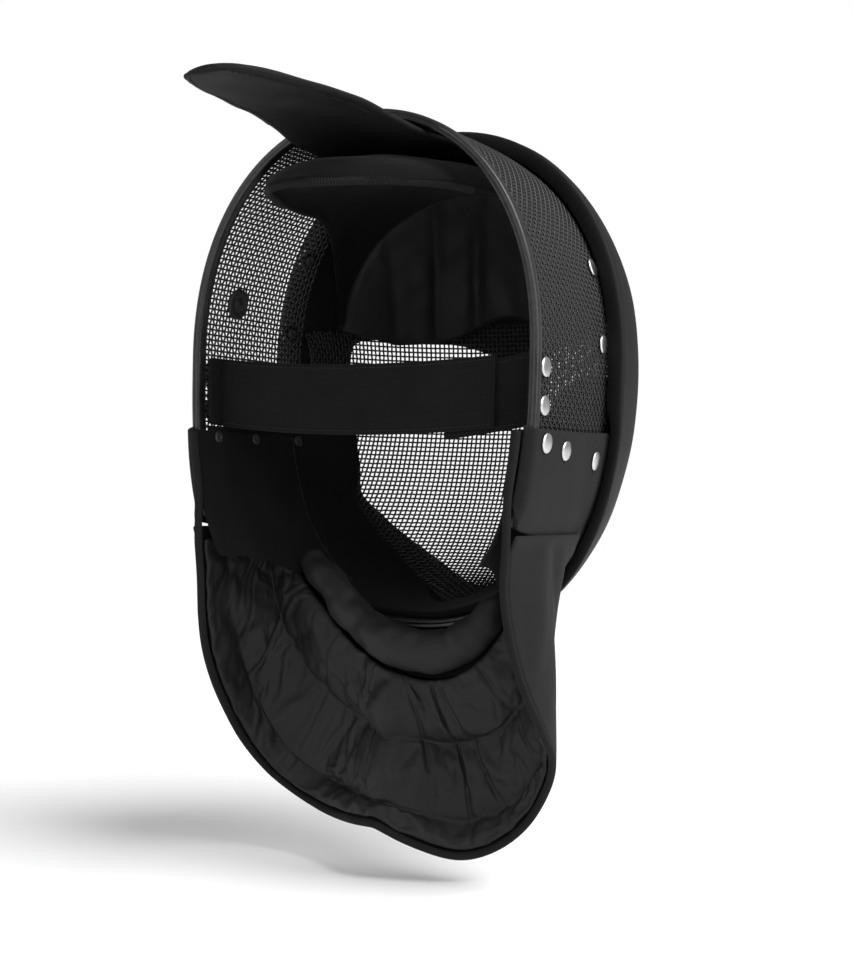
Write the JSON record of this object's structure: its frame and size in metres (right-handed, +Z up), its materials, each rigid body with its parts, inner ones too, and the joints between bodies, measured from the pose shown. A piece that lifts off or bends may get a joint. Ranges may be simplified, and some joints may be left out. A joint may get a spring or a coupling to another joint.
{
  "type": "fencing mask with bib",
  "caption": "Fencing mask with a wire mesh shell, padded face cover, back tongue, elastic straps and a quilted bib.",
  "frame": {"origin": "where the crown of the head sits, on the middle plane under the crown lining", "axes": "+X to the wearer's left, -Y forward through the face, +Z up"},
  "size_m": [0.233, 0.3549, 0.4172],
  "materials": {
    "wire_mesh": "black lacquered wire, satin",
    "rim_metal": "dark lacquered steel channel, worn bright along its fold",
    "cover_cloth": "smooth coated black cloth over padding",
    "brushed_lining": "brushed charcoal lining, soft nap",
    "satin_nylon": "black satin nylon, quilted and wrinkled",
    "bib_cloth": "dense black woven bib cloth, matt",
    "binding": "black bias binding, fine twill",
    "elastic": "wide ribbed black elastic",
    "rivet_steel": "nickel plated rivet heads",
    "black_plastic": "moulded black plastic"
  },
  "bodies": {
    "root": {"mesh_shell": "wire_mesh", "rim_trim": "rim_metal", "outer_cover": "cover_cloth", "tongue": "cover_cloth", "crown_pad": "brushed_lining", "forehead_pad": "satin_nylon", "cheek_lining": "brushed_lining", "bib_band": "bib_cloth", "bib_outer": "bib_cloth", "bib_lining": "satin_nylon", "chin_roll": "satin_nylon", "bib_piping": "binding", "strap_main": "elastic", "strap_end": "elastic", "side_disc": "black_plastic", "strap_rivet_left_1": "rivet_steel", "strap_rivet_left_2": "rivet_steel", "strap_rivet_right_1": "rivet_steel", "strap_rivet_right_2": "rivet_steel", "bib_rivet_left_1": "rivet_steel", "bib_rivet_left_2": "rivet_steel", "bib_rivet_left_3": "rivet_steel", "bib_rivet_right_1": "rivet_steel", "bib_rivet_right_2": "rivet_steel", "bib_rivet_right_3": "rivet_steel", "cover_snap_left_1": "rivet_steel", "cover_snap_left_2": "rivet_steel", "cover_snap_right_1": "rivet_steel", "cover_snap_right_2": "rivet_steel", "tongue_rivet_left": "rivet_steel", "tongue_rivet_right": "rivet_steel"}
  },
  "joints": []
}
